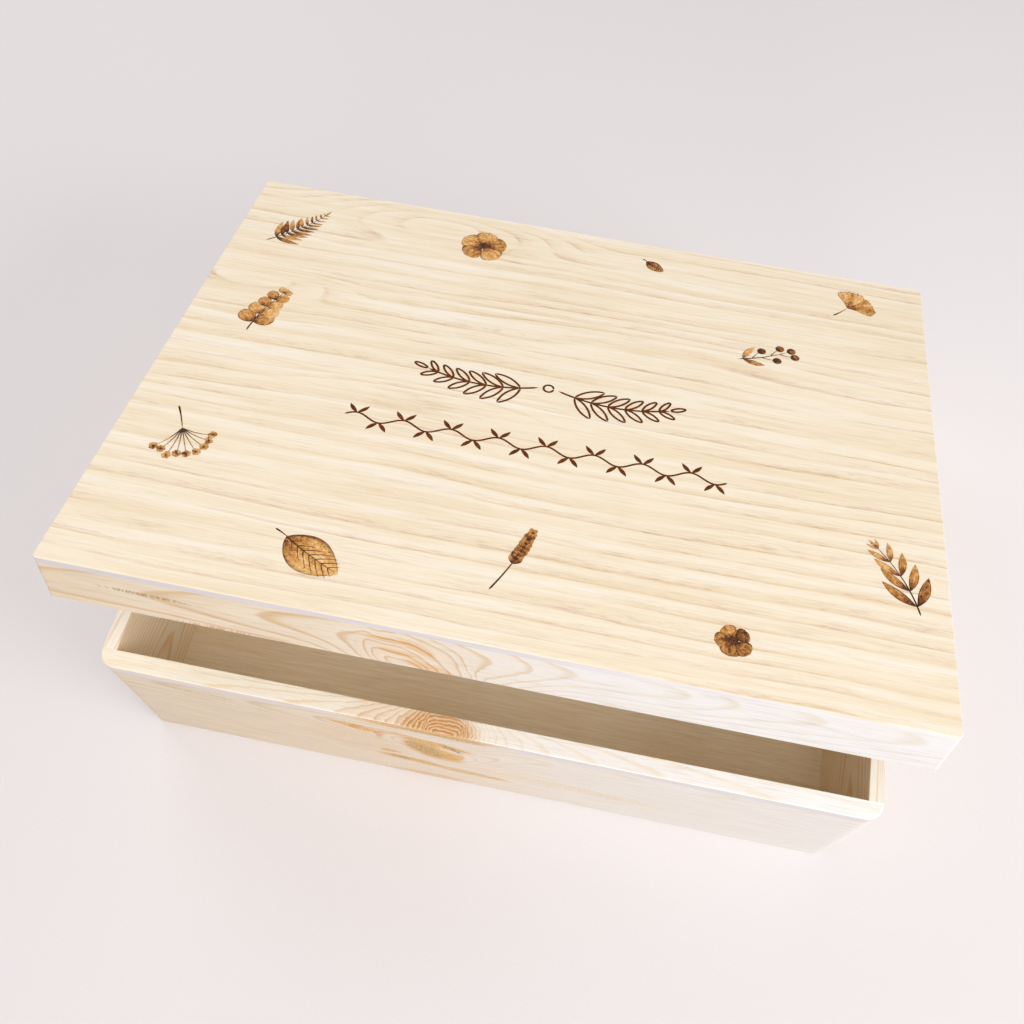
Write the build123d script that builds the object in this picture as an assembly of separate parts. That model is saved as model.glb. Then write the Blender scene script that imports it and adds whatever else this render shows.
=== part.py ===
from build123d import *
import os

# Pine keepsake box with a shallow lid on two butt hinges. All sizes are in millimetres.
# Origin: the middle of the underside. +X is right, +Y is towards the hinges, +Z is up.
# The lid is built shut, and is then swung open to the angle at which it is stored.

# ---- the box ----
box_width = 400.0            # outside, left to right
box_depth = 300.0            # outside, front to back
body_height = 100.0          # from the table to the rim
long_board = 9.5             # thickness of the front and back boards
end_board = 7.5              # thickness of the left and right boards
body_corner = 9.0            # radius of the body's upright corners, seen from above
rim_arris = 0.6              # rounding of the outer edges that meet at the seam
inner_arris = 0.4            # rounding of the inner edges that meet at the seam
foot_bevel = 0.8             # slope sanded on the outer edge that stands on the table

# ---- the bottom, a plywood sheet glued into a rebate and flush with the boards' feet ----
bottom_sheet = 4.0
rebate_width = 3.5           # how far the rebate goes into each board
rebate_play = 0.15           # between the sheet's edge and the rebate

# ---- the lid, a frame of four rails with a sheet glued on top ----
lid_height = 30.0            # rails and sheet together
lid_sheet = 4.0
lid_corner = 2.0             # radius of the lid's upright corners, seen from above
sheet_arris = 0.5            # rounding of the sheet's top edge
seam_gap = 0.3               # hairline between rim and lid when the box is shut
open_angle = 13.5            # degrees that the stored lid stands open

# ---- the hinges, rolled brass strip on a steel pin ----
hinge_inset = 70.0           # from the box's side to the middle of a hinge
hinge_length = 30.0
hinge_knuckles = 3           # the outer two are the body leaf's
knuckle_play = 0.2           # between neighbouring knuckles
leaf_width = 13.0            # from the pin's axis to the leaf's free edge
leaf_gauge = 1.0             # thickness of the brass strip
leaf_corner = 2.0
notch_play = 0.35            # between a leaf and the knuckles of the other leaf
pin_radius = 1.0
pin_play = 0.05              # between the pin and its bore
pin_head_radius = 1.6
pin_head = 0.8               # thickness of each riveted end

# ---- the countersunk wood screws, two in each leaf ----
screw_spacing = 17.0         # along the hinge
screw_from_axis = 8.0
screw_radius = 1.0
screw_length = 8.0           # from the head's face to the blunt end
screw_head_radius = 1.9
screw_play = 0.05            # around the screw, in the leaf and in the wood

# ---- worked out from the sizes above ----
inner_width = box_width - 2 * end_board
inner_depth = box_depth - 2 * long_board
rail_height = lid_height - lid_sheet
lid_foot = body_height + seam_gap
barrel_radius = pin_radius + pin_play + leaf_gauge
hinge_back = box_depth / 2
axis_back = hinge_back + barrel_radius
axis_height = body_height + seam_gap / 2
knuckle_pitch = hinge_length / hinge_knuckles
screw_head = leaf_gauge      # the countersunk heads go through the whole strip
hinge_places = (-(box_width / 2 - hinge_inset), box_width / 2 - hinge_inset)
lid_swing = Axis((0, axis_back, axis_height), (-1, 0, 0))

UP_FROM = (Align.CENTER, Align.CENTER, Align.MIN)


def wall_ring(height, corner):
    """Four walls in one piece, standing on z = 0: a rounded outline less the inside."""
    outline = RectangleRounded(box_width, box_depth, corner)
    inside = Rectangle(inner_width, inner_depth)
    return extrude(outline - inside, height)


def round_seam_edges(ring, highest):
    """Round the outer and the inner edges of a ring's top face, or of its underside."""
    def face(shape):
        return shape.faces().filter_by(Plane.XY).sort_by(Axis.Z)[-1 if highest else 0]
    ring = fillet(face(ring).outer_wire().edges(), rim_arris)
    return fillet(face(ring).inner_wires()[0].edges(), inner_arris)


def cut_into_boards(ring, foot, height):
    """Long boards run through at the corners, and end boards butt against their inner faces."""
    boards = {}
    for side, name in ((-1, "front"), (1, "back")):
        middle = side * (box_depth - long_board) / 2
        boards[name] = ring & Pos(0, middle, foot) * Box(box_width, long_board, height, align=UP_FROM)
    for side, name in ((-1, "left"), (1, "right")):
        middle = side * (box_width - end_board) / 2
        boards[name] = ring & Pos(middle, 0, foot) * Box(end_board, inner_depth, height, align=UP_FROM)
    return boards


def sheet_in_rebate(reach):
    """A sheet on the table that goes this far into each board."""
    return Box(inner_width + 2 * reach, inner_depth + 2 * reach, bottom_sheet, align=UP_FROM)


def body_boards():
    """The body's four boards, with the rebate for the bottom sheet along their inner feet."""
    ring = round_seam_edges(wall_ring(body_height, body_corner), highest=True)
    ring = chamfer(ring.faces().sort_by(Axis.Z)[0].outer_wire().edges(), foot_bevel)
    ring -= sheet_in_rebate(rebate_width)
    return cut_into_boards(ring, 0, body_height)


def lid_rails():
    """The lid's four rails, cut and joined as the body's boards are."""
    ring = round_seam_edges(wall_ring(rail_height, lid_corner), highest=False)
    return cut_into_boards(Pos(0, 0, lid_foot) * ring, lid_foot, rail_height)


def lid_top_panel():
    """The sheet that covers the rails, flush with them all round."""
    sheet = extrude(RectangleRounded(box_width, box_depth, lid_corner), lid_sheet)
    sheet = fillet(sheet.faces().sort_by(Axis.Z)[-1].edges(), sheet_arris)
    return Pos(0, 0, lid_foot + rail_height) * sheet


def screw_places(side):
    """Where a leaf's screws go, in hinge coordinates: x along the pin, y outwards, z up."""
    return [(end * screw_spacing / 2, side * screw_from_axis) for end in (-1, 1)]


def screw_shape(play):
    """A countersunk screw along -Y, its head's face at y = 0. With play it is the hole for it."""
    with BuildPart() as screw:
        with BuildSketch(Plane.XY):
            with BuildLine():
                Polyline(
                    (0, 0),
                    (screw_head_radius + play, 0),
                    (screw_radius + play, -screw_head),
                    (screw_radius + play, -screw_length - play),
                    (0, -screw_length - play),
                    close=True,
                )
            make_face()
        revolve(axis=Axis.Y)
    return screw.part


def hinge_leaf(side, knuckles):
    """One leaf lying on y = 0: a plate on its side of the pin, and its rolled knuckles."""
    notch = barrel_radius + notch_play
    plate_height = leaf_width - notch
    plate = extrude(Plane.XZ * RectangleRounded(hinge_length, plate_height, leaf_corner), -leaf_gauge)
    leaf = Pos(0, 0, side * (notch + plate_height / 2)) * plate
    root = leaf_corner + notch
    for k in knuckles:
        start = -hinge_length / 2 + k * knuckle_pitch + knuckle_play / 2
        tab = Pos(leaf_gauge / 2, side * root / 2) * Rectangle(leaf_gauge, root)
        profile = Pos(barrel_radius, 0) * Circle(barrel_radius) + tab
        profile -= Pos(barrel_radius, 0) * Circle(pin_radius + pin_play)
        leaf += extrude(Plane.YZ.offset(start) * profile, knuckle_pitch - knuckle_play)
    for x, z in screw_places(side):
        leaf -= Pos(x, leaf_gauge, z) * screw_shape(screw_play)
    return leaf


def hinge_pin():
    """The pin through all knuckles, with a riveted head at each end."""
    pin = Cylinder(pin_radius, hinge_length, rotation=(0, 90, 0))
    for end in (-1, 1):
        head = Cylinder(pin_head_radius, pin_head, rotation=(0, 90, 0))
        pin += Pos(end * (hinge_length + pin_head) / 2, 0, 0) * head
    return Pos(0, barrel_radius, 0) * pin


def at_hinge(place):
    """From hinge coordinates to the box: on its back, at the seam."""
    return Pos(place, hinge_back, axis_height)


def swing(shape):
    """Turn a piece of the shut lid to where the lid is stored."""
    return shape.rotate(lid_swing, open_angle)


def build():
    """Every piece by the name of its node."""
    pieces = {}
    boards = body_boards()
    rails = lid_rails()
    body_screws = []
    lid_screws = []
    for place, hand in zip(hinge_places, ("left", "right")):
        hinge = at_hinge(place)
        body_knuckles = range(0, hinge_knuckles, 2)
        lid_knuckles = range(1, hinge_knuckles, 2)
        pieces[f"{hand}_hinge_body_leaf"] = hinge * hinge_leaf(-1, body_knuckles)
        pieces[f"{hand}_hinge_lid_leaf"] = swing(hinge * hinge_leaf(1, lid_knuckles))
        pieces[f"{hand}_hinge_pin"] = hinge * hinge_pin()
        for side, boarding, screws in ((-1, boards, body_screws), (1, rails, lid_screws)):
            for x, z in screw_places(side):
                seat = hinge * Pos(x, leaf_gauge, z)
                boarding["back"] -= seat * screw_shape(screw_play)
                screws.append(seat * screw_shape(0))
    pieces["body_hinge_screws"] = Compound(children=body_screws)
    pieces["lid_hinge_screws"] = Compound(children=[swing(screw) for screw in lid_screws])
    for name, board in boards.items():
        pieces[f"body_{name}_board"] = board
    for name, rail in rails.items():
        pieces[f"lid_{name}_rail"] = swing(rail)
    pieces["body_bottom_panel"] = sheet_in_rebate(rebate_width - rebate_play)
    pieces["lid_top_panel"] = swing(lid_top_panel())
    return pieces


os.makedirs("parts", exist_ok=True)
for node, piece in build().items():
    export_step(piece, f"parts/{node}.step")
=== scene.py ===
import math
import bpy
import numpy as np
from mathutils import Matrix, Vector


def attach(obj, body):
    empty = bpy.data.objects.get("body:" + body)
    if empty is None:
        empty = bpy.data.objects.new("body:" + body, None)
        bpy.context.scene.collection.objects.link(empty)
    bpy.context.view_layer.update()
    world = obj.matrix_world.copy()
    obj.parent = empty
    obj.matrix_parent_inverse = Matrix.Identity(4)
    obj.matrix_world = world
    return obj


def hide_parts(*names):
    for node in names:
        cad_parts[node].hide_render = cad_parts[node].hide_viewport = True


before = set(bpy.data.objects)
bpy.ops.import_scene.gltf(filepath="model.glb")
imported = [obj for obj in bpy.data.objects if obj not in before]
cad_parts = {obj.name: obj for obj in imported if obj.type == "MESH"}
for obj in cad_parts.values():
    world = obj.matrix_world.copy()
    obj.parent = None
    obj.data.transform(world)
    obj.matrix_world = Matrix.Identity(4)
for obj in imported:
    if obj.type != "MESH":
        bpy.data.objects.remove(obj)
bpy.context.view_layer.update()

# Pine keepsake box: wood and metal finishes for its boards and hinges, slotted screws, pressed plants and a burnt
# ornament on its lid, and the floor, lights and camera. Sizes are in millimetres, and MM turns them into metres.
# The floor, the lights and the camera are placed in metres. Places on the lid are those of the shut lid, which is
# then turned open by LID_ANGLE.

scene = bpy.context.scene
MM = 0.001
HALF_WIDTH, HALF_DEPTH = 200.0, 150.0
INNER_HALF_WIDTH, INNER_HALF_DEPTH = 192.5, 140.5
INTO_WALL = 0.25       # how far past the inner faces still counts as the inside
RIM, LID_TOP = 100.0, 130.3
HINGE_BACK, HINGE_HEIGHT = 152.05, 100.15
LID_ANGLE = math.radians(13.5)
# Settings that many nodes share
PLUS, MINUS, TIMES, OVER = ({"operation": name} for name in ("ADD", "SUBTRACT", "MULTIPLY", "DIVIDE"))
COLOURS = {"data_type": "RGBA"}


def linear(hex_colour):
    """sRGB hex to a linear colour with alpha 1, by the sRGB curve."""
    value = np.array([int(hex_colour[i:i + 2], 16) for i in (0, 2, 4)]) / 255
    value = np.where(value <= 0.04045, value / 12.92, ((value + 0.055) / 1.055) ** 2.4)
    return (*(float(v) for v in value), 1.0)


def feed(tree, node, feeds):
    """Give a node's inputs, by name or number, a value or a link each.

    Text is an sRGB hex colour, and a node is linked by its first working output.
    """
    for key, value in feeds.items():
        socket = node.inputs[key] if isinstance(key, int) else next(
            one for one in node.inputs if one.enabled and one.name == key)
        if isinstance(value, bpy.types.Node):
            value = next(output for output in value.outputs if output.enabled)
        if isinstance(value, bpy.types.NodeSocket):
            tree.links.new(value, socket)
        else:
            socket.default_value = linear(value) if isinstance(value, str) else value


def add(tree, kind, settings=None, feeds=None):
    """Add one node with its settings and what feeds its inputs. Its kind is the node's type without ShaderNode.

    Two settings belong to one kind each: stops are a colour ramp's (position, colour) pairs, and points are a float
    curve's (x, y) pairs.
    """
    node = tree.nodes.new("ShaderNode" + kind)
    for name, value in (settings or {}).items():
        if name == "stops":
            elements = node.color_ramp.elements
            while len(elements) < len(value):
                elements.new(0.5)
            for element, (position, colour) in zip(elements, value):
                element.position = position
                element.color = linear(colour) if isinstance(colour, str) else (colour, colour, colour, 1.0)
        elif name == "points":
            line = node.mapping.curves[0]
            while len(line.points) < len(value):
                line.points.new(0.5, 0.5)
            for point, location in zip(line.points, value):
                point.location = location
            node.mapping.update()
        else:
            setattr(node, name, value)
    feed(tree, node, feeds or {})
    return node


def start_material(name):
    """An empty material with its Principled shader joined to the output."""
    material = bpy.data.materials.new(name)
    material.use_nodes = True
    tree = material.node_tree
    tree.nodes.clear()
    shader = add(tree, "BsdfPrincipled")
    add(tree, "OutputMaterial", None, {"Surface": shader})
    return material, tree, shader


# ---------------- what all woods share

def board_place(tree, on_lid):
    """Object coordinates in millimetres, with the lid turned back to where it is when the box is shut."""
    turn = LID_ANGLE if on_lid else 0.0
    hinge = Vector((0, HINGE_BACK, HINGE_HEIGHT))
    shift = hinge - Matrix.Rotation(turn, 3, "X") @ hinge
    return add(tree, "Mapping", None, {
        "Vector": add(tree, "TexCoord").outputs["Object"],
        "Location": shift, "Rotation": (turn, 0, 0), "Scale": (1 / MM, 1 / MM, 1 / MM)})


def board_share(tree, x):
    """How far along the box x is, from 0 at the left side to 1 at the right side."""
    return add(tree, "MapRange", None, {"Value": x, "From Min": -HALF_WIDTH, "From Max": HALF_WIDTH})


def spot(tree, place, centre, reach, tilt=0.0, strength=1.0, fade=0.5):
    """Full strength in the middle of an ellipsoid, and none at its surface. Tilt lifts its right end, in degrees.

    Fade is the share of its reach over which it goes.
    """
    moved = add(tree, "VectorMath", MINUS, {0: place, 1: centre})
    turned = add(tree, "Mapping", None, {"Vector": moved, "Rotation": (0, math.radians(tilt), 0)})
    unit = add(tree, "VectorMath", OVER, {0: turned, 1: reach})
    ball = add(tree, "TexGradient", {"gradient_type": "SPHERICAL"}, {0: unit})
    return add(tree, "MapRange", {"interpolation_type": "SMOOTHSTEP"}, {
        "Value": ball, "From Max": fade, "To Max": strength})


def streaks(tree, place, cell, detail=3.0):
    """Noise from 0 to 1 whose cells are as long as the given millimetres on each axis."""
    cells = add(tree, "VectorMath", OVER, {0: place, 1: cell})
    return add(tree, "TexNoise", None, {"Vector": cells, "Scale": 1.0, "Detail": detail, "Roughness": 0.6})


def wander(tree, place, cell, amount):
    """The place, pushed about by slow noise of the given cells, by up to half of amount on each axis."""
    push = add(tree, "VectorMath", MINUS, {
        0: streaks(tree, place, cell, 2.0).outputs["Color"], 1: (0.5, 0.5, 0.5)})
    push = add(tree, "VectorMath", TIMES, {0: push, 1: amount})
    return add(tree, "VectorMath", PLUS, {0: place, 1: push})


def late_wood(tree, rings):
    """The dark end of each growth ring: it builds up slowly and stops sharply."""
    phase = add(tree, "Math", {"operation": "FRACT"}, {0: rings})
    return add(tree, "ValToRGB", {"stops": [
        (0.0, 0.0), (0.3, 0.03), (0.42, 0.14), (0.5, 0.05), (0.68, 0.16), (0.86, 1.0), (0.93, 0.9), (1.0, 0.0)]}, {
        0: phase})


def hollow(tree, place):
    """1 on the faces that line the inside of the box, and 0 on the rim and outside."""
    part = add(tree, "SeparateXYZ", None, {0: place})
    within = []
    for axis, inner_half in (("X", INNER_HALF_WIDTH), ("Y", INNER_HALF_DEPTH)):
        away = add(tree, "Math", {"operation": "ABSOLUTE"}, {0: part.outputs[axis]})
        within.append(add(tree, "Math", {"operation": "LESS_THAN"}, {0: away, 1: inner_half + INTO_WALL}))
    return add(tree, "Math", TIMES, {0: within[0], 1: within[1]})


def end_grain(tree):
    """How much end grain darkens a board that runs left to right, from the way its surface faces."""
    facing = add(tree, "SeparateXYZ", None, {0: add(tree, "NewGeometry").outputs["Normal"]})
    facing = add(tree, "Math", {"operation": "ABSOLUTE"}, {0: facing.outputs["X"]})
    return add(tree, "MapRange", None, {"Value": facing, "From Min": 0.7, "From Max": 0.98, "To Max": 0.45})


def sand(tree, shader, place, colour, late, cell=(22, 0.7, 0.7), relief=0.05, shade="E6DFD5"):
    """Fine fibres on a wood's colour, and the roughness and the relief in millimetres that sanding leaves.

    Fibres are drawn 0.7 mm across, coarser than the real 0.03 mm, to show at all.
    """
    fine = streaks(tree, place, cell, 4.0)
    tint = add(tree, "ValToRGB", {"stops": [(0.25, shade), (0.5, "FFFFFF")]}, {0: fine})
    colour = add(tree, "Mix", {**COLOURS, "blend_type": "MULTIPLY"}, {"Factor": 0.8, "A": colour, "B": tint})
    rough = add(tree, "MapRange", None, {"Value": fine, "To Min": 0.52, "To Max": 0.7})
    height = add(tree, "Math", PLUS, {0: fine, 1: late})
    bump = add(tree, "Bump", None, {"Strength": 0.3, "Distance": relief * MM, "Height": height})
    feed(tree, shader, {"Base Color": colour, "Roughness": rough, "Normal": bump, "IOR": 1.5,
                        "Specular IOR Level": 0.35})


# ---------------- the front: knotty pine

RING_WIDTH = 2.6       # millimetres from one growth ring to the next, into the board
MOST_RINGS, MOST_IN_A_MILLIMETRE = 24.0, 2.0

# Each eye is four lines of points along the board: (x, how far the rings lean to the left for each millimetre up),
# (x, how many rings out from the heart), (x, height of the rings' tips) and (x, rings in a millimetre above and below
# the tips). The last three are read at the leaning x. The rim's eye counts its height back from the front.
ALL_ZERO = [(-200, 0), (200, 0)]
LID_EYE = ([(-200, 0), (-62, 0), (-40, 0.7), (-15, 0.7), (25, 0), (200, 0)],
           [(-200, 6.6), (-98, 4.9), (-63, 3.9), (-50.6, 2.9), (-46.5, 1.9), (-40.9, 0.9), (-33, 0.1), (-26.5, 0.9),
            (-23, 1.9), (-18.5, 2.9), (-12.2, 3.9), (-3, 4.9), (1.2, 5.9), (10.2, 6.9), (20.9, 7.9), (39, 8.9),
            (86, 9.9), (107, 10.9), (143, 11.9), (186, 12.9), (200, 13.2)],
           [(-200, 114), (-98, 119), (-75, 117.5), (-63, 115), (-55, 111), (-50, 108), (-45, 104), (-33, 101.5),
            (-24, 101.5), (-18.5, 104), (-12.2, 107.5), (-8.5, 111.5), (-3, 113.5), (1.2, 117), (10, 120), (20, 118.7),
            (39, 120.5), (86, 121), (200, 122)],
           [(-200, 0.25), (-98, 0.28), (-75, 0.28), (-63, 0.25), (-55, 0.21), (-48, 0.19), (-33, 0.205), (-24, 0.19),
            (-16, 0.165), (-10, 0.19), (-4.6, 0.26), (1.2, 0.31), (10, 0.3), (17.8, 0.36), (24, 0.4), (39, 0.44),
            (86, 0.45), (200, 0.42)])
BODY_EYE = (ALL_ZERO,
            [(-200, 8.4), (-110, 6.6), (-80, 5.6), (-60, 4.2), (-44, 2.4), (-34, 1.0), (-26, 0.2), (-16, 1.0),
             (-6, 2.4), (4, 3.6), (40, 5.0), (87, 6.0), (135, 7.0), (172, 8.0), (200, 8.8)],
            [(-200, 88), (-100, 84), (-72, 80), (-44, 70), (-26, 61), (-10, 58), (4, 66), (20, 78), (40, 83),
             (87, 85), (135, 89), (172, 93), (200, 95)],
            [(-200, 0.3), (-56, 0.3), (-27, 0.2), (4, 0.26), (200, 0.3)])
RIM_EYE = (ALL_ZERO,
           [(-200, 16.8), (-110, 15.2), (-72, 13.8), (-60, 12.6), (-50, 11.2), (-42, 9.4), (-30, 4.8), (-19, 0.2),
            (-8, 5), (0, 9), (8, 11.8), (16, 13.2), (30, 14.6), (60, 16), (200, 18.6)],
           ALL_ZERO,
           [(-200, 0.7), (-72, 0.9), (-60, 0.85), (-42, 0.7), (-19, 0.55), (0, 0.6), (20, 0.7), (60, 0.7), (200, 0.6)])


def eye_rings(tree, along, up, depth, eye):
    """Growth rings round an eye: their count is the length of (rings at x, depth, rings off the tips)."""
    lines = []
    for points, most in zip(eye, (1.0, MOST_RINGS, LID_TOP, MOST_IN_A_MILLIMETRE)):
        on_curve = [((x + HALF_WIDTH) / (2 * HALF_WIDTH), value / most) for x, value in points]
        share = add(tree, "FloatCurve", {"points": on_curve}, {"Value": along})
        lines.append(add(tree, "Math", TIMES, {0: share, 1: most}))
        if len(lines) == 1:
            lift = add(tree, "Math", MINUS, {0: up, 1: RIM})
            lift = add(tree, "Math", OVER, {0: lift, 1: 2 * HALF_WIDTH})
            along = add(tree, "Math", {"operation": "MULTIPLY_ADD"}, {0: lines[0], 1: lift, 2: along})
    rise = add(tree, "Math", MINUS, {0: up, 1: lines[2]})
    rise = add(tree, "Math", TIMES, {0: rise, 1: lines[3]})
    count = add(tree, "CombineXYZ", None, {0: lines[1], 1: depth, 2: rise})
    return add(tree, "VectorMath", {"operation": "LENGTH"}, {0: count})


# Zones on the front that resin has coloured: (x, z) of the centre, reach, tilt and strength. Marks have a colour too.
FRONT = -HALF_DEPTH
RIM_WARMTH = [((-23, 100), (27, 17, 9), 0, 1.0), ((-48, 100), (26, 30, 9), 0, 0.3)]
LID_WARMTH = [((-42, 119.4), (15, 20, 2.6), -2, 1.0), ((-29, 117), (13, 20, 4.4), -30, 0.95),
              ((-37, 110.6), (13, 20, 2.6), -8, 1.0), ((-22, 102), (18, 20, 6), -20, 0.9),
              ((-30, 112), (40, 30, 18), 0, 0.2)]
BODY_WARMTH = [((-66, 80.5), (20, 30, 6), -12, 1.0), ((-46, 81), (22, 30, 3.6), -4, 0.65),
               ((-27, 61), (26, 30, 16), -48, 0.95), ((-25, 75), (25, 30, 6.5), -12, 1.0),
               ((-38, 31.5), (26, 30, 5.5), -8, 0.9), ((-8, 27), (30, 30, 5), -5, 0.75),
               ((-51, 43), (7, 20, 4), -8, 0.95), ((-68, 54), (38, 30, 29), 0, 0.16),
               ((-27, 97.5), (48, 40, 6.5), 0, 0.85), ((-32, 3), (30, 30, 7), 0, 0.5)]
LID_MARKS = [((-151, 117), (30, 6, 1.6), -2, 0.7, "9A8157"), ((-120, 101.5), (26, 6, 1.6), 0, 0.6, "C08A50")]
BODY_MARKS = [((-30, 60.5), (19, 12, 9.5), -48, 0.72, "94875F"), ((-18, 69), (9, 6, 4), -42, 0.75, "EAD5B4"),
              ((-15.5, 72.5), (10, 6, 2.6), -46, 0.9, "87826A"), ((-46, 32), (6, 6, 3.5), -8, 0.6, "94875C"),
              ((-152, 84), (32, 6, 2.4), -3, 0.5, "B9A374"), ((-20, 95), (36, 6, 4), 0, 0.6, "9F9068"),
              ((-14.5, 56), (5, 8, 12), -20, 0.8, "DFA04C"), ((-54, 71), (2.4, 6, 9), -12, 0.6, "C79860"),
              ((50, 39), (70, 12, 7), -3, 0.7, "E3CEA4")]
# Colours of the front from its left side to its right side. All of them pale and cool towards the right, which is
# painted light from the right.
FACE_EARLY_LID = [(0.0, "DCCBB3"), (0.3, "E0D2BB"), (0.5, "E3DCD2"), (0.62, "E5E3E2"), (1.0, "E5E4E4")]
FACE_EARLY_BODY = [(0.0, "D4C7B3"), (0.3, "E0D2BE"), (0.5, "E2D7C9"), (0.62, "E3DDD5"), (1.0, "E5E0DD")]
FACE_UNEVEN = [(0.0, "E7D4B5"), (0.5, "EADCC9"), (1.0, "E7E4E0")]
FACE_LATE = [(0.0, "C9AC82"), (0.3, "CBA26E"), (0.5, "D3B68D"), (0.62, "DCD0BB"), (1.0, "DDD4C3")]
# The rim's colours are near white, far paler than the face's: painted light on the rim, which faces up.
RIM_EARLY = [(0.0, "FAF1DC"), (0.25, "FEF7E8"), (0.5, "FEF9EF"), (0.6, "FEFCF8"), (1.0, "FDFDFD")]
RIM_LATE = [(0.0, "F5E6C6"), (0.38, "EDD2A2"), (0.55, "F7ECD6"), (1.0, "F8F1E1")]
END_GRAIN = "C69B68"


def strongest(tree, place, zones):
    """The strongest of several zones at each point."""
    most = None
    for (x, z), reach, tilt, strength in zones:
        one = spot(tree, place, (x, FRONT, z), reach, tilt, strength)
        most = one if most is None else add(tree, "Math", {"operation": "MAXIMUM"}, {0: most, 1: one})
    return most


def front_pine(name, on_lid):
    """Planed and sanded knotty pine, grain left to right, with an eye of rings. Its colours pale and cool towards the
    right, which is painted light from the right.

    The rim and the lid's foot are cut through the same eye and show its rings close together, in colours far paler than
    the face's: painted light on the rim.
    """
    material, tree, shader = start_material(name)
    place = board_place(tree, on_lid)
    drift = wander(tree, place, (60, 14, 14), (5.0, 1.0, 2.4))
    drift = wander(tree, drift, (7, 3, 3), (1.3, 0.7, 0.9))
    part = add(tree, "SeparateXYZ", None, {0: place})
    across = board_share(tree, part.outputs["X"])
    # 1 on the sawn rim and the lid's foot, which take the rim's figure, its resin and its painted light
    plain, cut = (RIM + 1.0, RIM + 0.5) if on_lid else (RIM - 0.7, RIM - 0.2)
    sawn_lit_rim = add(tree, "MapRange", None, {"Value": part.outputs["Z"], "From Min": plain, "From Max": cut})
    moved = add(tree, "SeparateXYZ", None, {0: drift})
    back = add(tree, "Math", PLUS, {0: moved.outputs["Y"], 1: HALF_DEPTH})
    depth = add(tree, "Math", OVER, {0: back, 1: RING_WIDTH})
    face_rings = eye_rings(
        tree, board_share(tree, moved.outputs["X"]), moved.outputs["Z"], depth, LID_EYE if on_lid else BODY_EYE)
    torn = wander(tree, drift, (4, 2.6, 3), (3.4, 2.0, 0.0))
    torn = add(tree, "SeparateXYZ", None, {0: torn})
    back = add(tree, "Math", PLUS, {0: torn.outputs["Y"], 1: HALF_DEPTH})
    rim_rings = eye_rings(tree, board_share(tree, torn.outputs["X"]), back, 0.0, RIM_EYE)
    rings = add(tree, "Mix", None, {"Factor": sawn_lit_rim, "A": face_rings, "B": rim_rings})
    # resin in the wood round the eye, with a ragged outline on the body
    stained = drift
    if not on_lid:
        stained = wander(tree, place, (16, 9, 12), (9.0, 4.0, 4.0))
        stained = wander(tree, stained, (1.3, 6, 9), (0.8, 0.0, 3.6))
    warm = strongest(tree, stained, LID_WARMTH if on_lid else BODY_WARMTH)
    strokes = streaks(tree, drift, (1.1, 2.0, 5.0), 2.0)
    if not on_lid:
        hatch = add(tree, "MapRange", None, {"Value": strokes, "From Min": 0.4, "From Max": 0.52, "To Min": 0.65})
        warm = add(tree, "Math", TIMES, {0: warm, 1: hatch})
    warm = add(tree, "Mix", None, {"Factor": sawn_lit_rim, "A": warm, "B": strongest(tree, drift, RIM_WARMTH)})
    # late wood is in thin lines, but broad where the sawn rim meets the resin
    broad = add(tree, "Math", {"operation": "FRACT"}, {0: rings})
    broad = add(tree, "ValToRGB", {"stops": [
        (0.0, 0.2), (0.25, 0.05), (0.5, 0.7), (0.85, 1.0), (1.0, 0.25)]}, {0: broad})
    sawn_warm = add(tree, "Math", TIMES, {0: warm, 1: sawn_lit_rim})
    late = add(tree, "Mix", None, {"Factor": sawn_warm, "A": late_wood(tree, rings), "B": broad})
    # early and late wood along the board, on the face and on the sawn rim, paling and cooling towards the right as
    # painted light from the right; the face's early wood is a little uneven
    uneven = add(tree, "MapRange", None, {
        "Value": streaks(tree, drift, (40, 9, 4), 2.0), "From Min": 0.42, "From Max": 0.68, "To Max": 0.55})
    early_face = add(tree, "Mix", COLOURS, {
        "Factor": uneven,
        "A": add(tree, "ValToRGB", {"stops": FACE_EARLY_LID if on_lid else FACE_EARLY_BODY}, {0: across}),
        "B": add(tree, "ValToRGB", {"stops": FACE_UNEVEN}, {0: across})})
    late_face = add(tree, "ValToRGB", {"stops": FACE_LATE}, {0: across})
    shades = []
    for face, rim in ((early_face, RIM_EARLY), (late_face, RIM_LATE)):
        rim = add(tree, "ValToRGB", {"stops": rim}, {0: across})
        shades.append(add(tree, "Mix", COLOURS, {"Factor": sawn_lit_rim, "A": face, "B": rim}))
    # resin colours the late wood round the eye, and on the body and the rim the early wood with it
    soaked = add(tree, "MapRange", None, {"Value": sawn_lit_rim, "To Min": 0.5 if on_lid else 0.85, "To Max": 0.6})
    soaked = add(tree, "Math", TIMES, {0: warm, 1: soaked})
    for share, on_face, on_rim in ((soaked, "D8A349", "E7B25F"), (warm, "C9872F", "C67F22")):
        resin = add(tree, "Mix", COLOURS, {"Factor": sawn_lit_rim, "A": on_face, "B": on_rim})
        shades.append(add(tree, "Mix", COLOURS, {"Factor": share, "A": shades.pop(0), "B": resin}))
    strength = add(tree, "MapRange", None, {"Value": sawn_lit_rim, "To Min": 0.7 if on_lid else 0.5, "To Max": 0.75})
    strength = add(tree, "Math", {"operation": "MULTIPLY_ADD"}, {0: warm, 1: 0.15, 2: strength})
    amount = add(tree, "Math", TIMES, {0: late, 1: strength})
    colour = add(tree, "Mix", COLOURS, {"Factor": amount, "A": shades[0], "B": shades[1]})
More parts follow.
